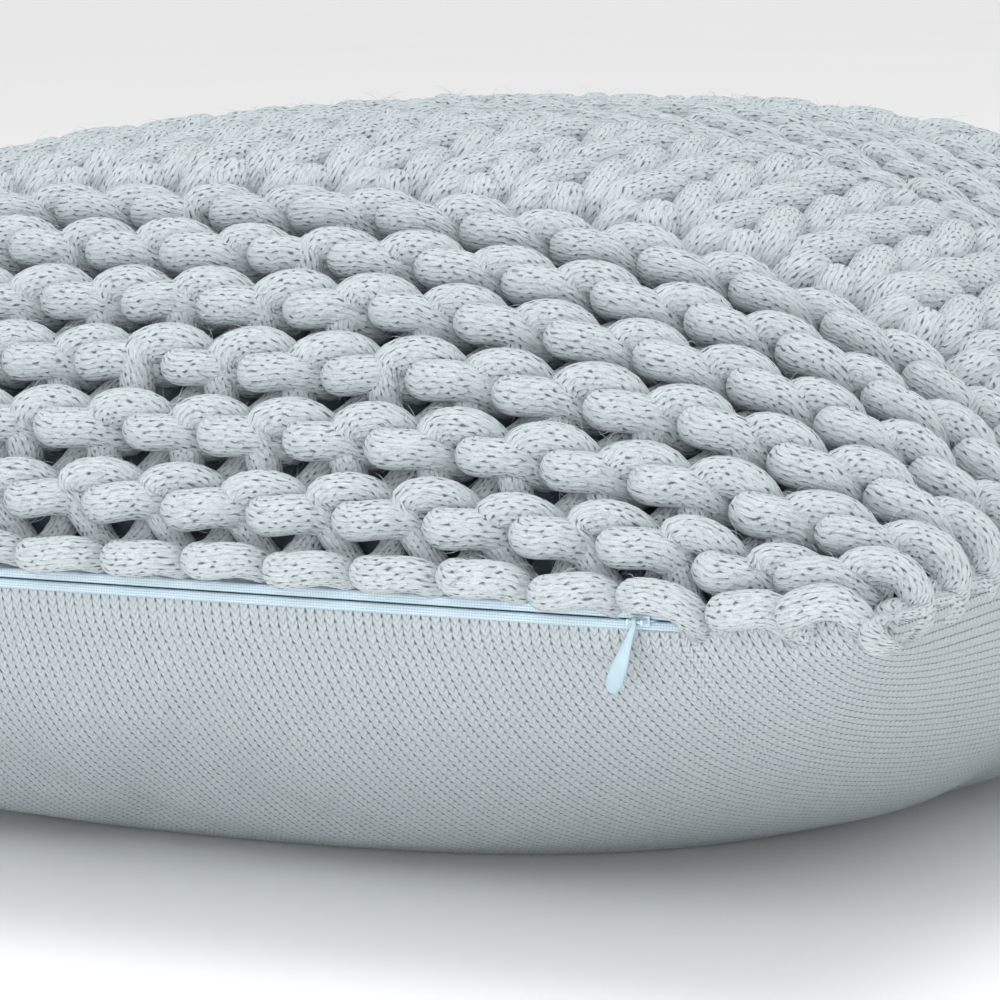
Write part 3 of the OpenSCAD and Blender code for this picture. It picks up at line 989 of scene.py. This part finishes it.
def rim_path(inset, count, first, last):
    """Points along the outline from angle share first to last, starting at the zipper side's
    middle and going round by way of +X."""
    k = np.linspace(-1, 1, count // 4 + 1)[:-1]
    one = np.ones_like(k)
    u = np.concatenate([k, one, -k, -one])
    v = np.concatenate([-one, k, one, -k])
    x, y = plan(u, v, HALF - inset)
    ring = np.roll(np.stack([x, y], 1), -len(k) // 2, 0)
    for _ in range(6):
        ring = (np.roll(ring, 1, 0) + 2 * ring + np.roll(ring, -1, 0)) / 4
    start, end = int(first * len(ring)), int(last * len(ring))
    ring = ring[np.arange(start, end + 1) % len(ring)]
    return np.concatenate([ring, np.zeros((len(ring), 1))], 1)


def seam_roll(name, node, inset, height, radius, span, material):
    """The rolled allowance of a seam, with the bite of its stitches along it."""
    path = rim_path(inset, 1200, *span)
    path[:, 2] = height
    up = np.tile([0.0, 0.0, 1.0], (len(path), 1))
    bite = 1 - 0.12 * np.sin(np.arange(len(path)) * 0.9) ** 2
    points, faces, uv = tube(path, up, radius * bite, 10)
    piece = mesh_object(name, points, faces, "pillow", uv, material)
    capped(piece)
    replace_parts(piece, node)


def filling():
    """Loose fibre that fills the casing, with the lumps that it settles into."""
    top = top_surface(coarse_u, coarse_v, FILL_INSET, 1 * MM)
    low = bottom_surface(coarse_u, coarse_v, FILL_INSET, 5 * MM)
    low[[0, -1]] = top[[0, -1]]
    low[:, [0, -1]] = top[:, [0, -1]]
    lumps = sum(np.sin(rng.uniform(20, 60) * top[..., 0] + rng.uniform(0, 6))
                * np.sin(rng.uniform(20, 60) * top[..., 1] + rng.uniform(0, 6))
                for _ in range(6)) / 6
    fade = (1 - coarse_u ** 6) * (1 - coarse_v ** 6)
    top[..., 2] -= 2 * MM * fade * (1 + lumps)
    low[..., 2] += 1.5 * MM * fade * (1 - lumps)
    points, faces, _, _ = closed_pair(top, low)
    uv = points[faces.reshape(-1)][:, :2]
    piece = mesh_object("filling", points, faces, "pillow", uv, fibre_material)
    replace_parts(piece, "fibre_fill")


LABEL_SIZE = (30 * MM, 50 * MM)


def label():
    """A blank strip sewn into the seam, lying against the jersey inside the cover."""
    across = np.linspace(-1, 1, 13) * LABEL_SIZE[0] / 2 / HALF - 0.9
    along = -1 + LABEL_SIZE[1] / HALF * np.linspace(0, 1, 25) ** 2
    u, v = np.meshgrid(across, along)
    points = bottom_surface(u, v, 5.2 * MM)
    piece = panel("label", points, label_material, True, "care_label")
    thickened(piece, 0.3 * MM)


seam_start = 0.103
seam_roll("cover_seam_roll", "cover_seam", 8 * MM, SEAM_Z, 1.8 * MM,
          (seam_start, 1 - seam_start), thread_material)
seam_roll("insert_seam_roll", "insert_seam", 15.5 * MM, SEAM_Z, 1.2 * MM, (0, 1),
          casing_material)
label()
filling()


# ---------------------------------------------------------------- floor, light, camera

def floor():
    """A plain pale floor."""
    side = 60
    mesh = bpy.data.meshes.new("floor")
    mesh.from_pydata([(-side, -side, 0), (side, -side, 0), (side, side, 0), (-side, side, 0)],
                     [], [(0, 1, 2, 3)])
    plane = bpy.data.objects.new("floor", mesh)
    bpy.context.scene.collection.objects.link(plane)
    material, nodes, links, shader = new_material("floor_look")
    place = nodes.new("ShaderNodeTexCoord").outputs["Object"]
    links.new(ramp(nodes, links, noise(nodes, links, place, 3, 2),
                   [(0.3, (0.92, 0.92, 0.92)), (0.7, (0.93, 0.93, 0.93))]),
              shader.inputs["Base Color"])
    shader.inputs["Roughness"].default_value = 0.8
    mesh.materials.append(material)


def area_light(name, place, target, size, power):
    """A soft light that faces target and isn't seen itself."""
    lamp = bpy.data.lights.new(name, "AREA")
    lamp.shape = "RECTANGLE"
    lamp.size, lamp.size_y = size
    lamp.energy = power
    lamp_object = bpy.data.objects.new(name, lamp)
    bpy.context.scene.collection.objects.link(lamp_object)
    lamp_object.visible_camera = False
    lamp_object.location = place
    aim = Vector(target) - Vector(place)
    lamp_object.rotation_euler = aim.to_track_quat("-Z", "Y").to_euler()


def light_and_world():
    """White surroundings, with soft lights from above, from the front and from low down."""
    world = bpy.data.worlds.new("studio")
    bpy.context.scene.world = world
    world.use_nodes = True
    background = world.node_tree.nodes["Background"]
    background.inputs[0].default_value = (1.0, 1.0, 1.0, 1)
    background.inputs[1].default_value = 0.86
    area_light("key", (0.2, 0.4, 2.4), (0, 0, 0.1), (1.8, 1.8), 26)
    area_light("fill", (0.8, -2.2, 1.6), (0.1, -0.4, 0), (2.0, 1.0), 9)
    area_light("front", (1.9, -2.6, 0.45), (0.1, -0.2, 0), (2.6, 0.8), 14)
    area_light("bounce", (0.25, -1.7, 0.1), (0.1, -0.2, 0.1), (2.2, 0.16), 8)


def camera():
    """Low at the zipper side's right-hand corner, through a long lens."""
    target = Vector((0.142, -0.240, 0.120))
    distance = 1.4086
    azimuth, elevation, roll = map(math.radians, (30.04, 7.38, -1.18))
    back = Vector((math.sin(azimuth) * math.cos(elevation),
                   -math.cos(azimuth) * math.cos(elevation), math.sin(elevation)))
    right = Vector((math.cos(azimuth), math.sin(azimuth), 0))
    up = back.cross(right)
    turned_right = right * math.cos(roll) + up * math.sin(roll)
    turned_up = up * math.cos(roll) - right * math.sin(roll)
    lens = bpy.data.cameras.new("camera")
    lens.lens = 182.9
    lens.sensor_width = 36
    lens.clip_start, lens.clip_end = 0.05, 200
    eye = bpy.data.objects.new("camera", lens)
    bpy.context.scene.collection.objects.link(eye)
    matrix = np.eye(4)
    matrix[:3, 0], matrix[:3, 1], matrix[:3, 2] = turned_right, turned_up, back
    matrix[:3, 3] = target + back * distance
    eye.matrix_world = Matrix(matrix.tolist())
    bpy.context.scene.camera = eye


floor()
light_and_world()
camera()
bpy.context.scene.view_settings.view_transform = "Standard"
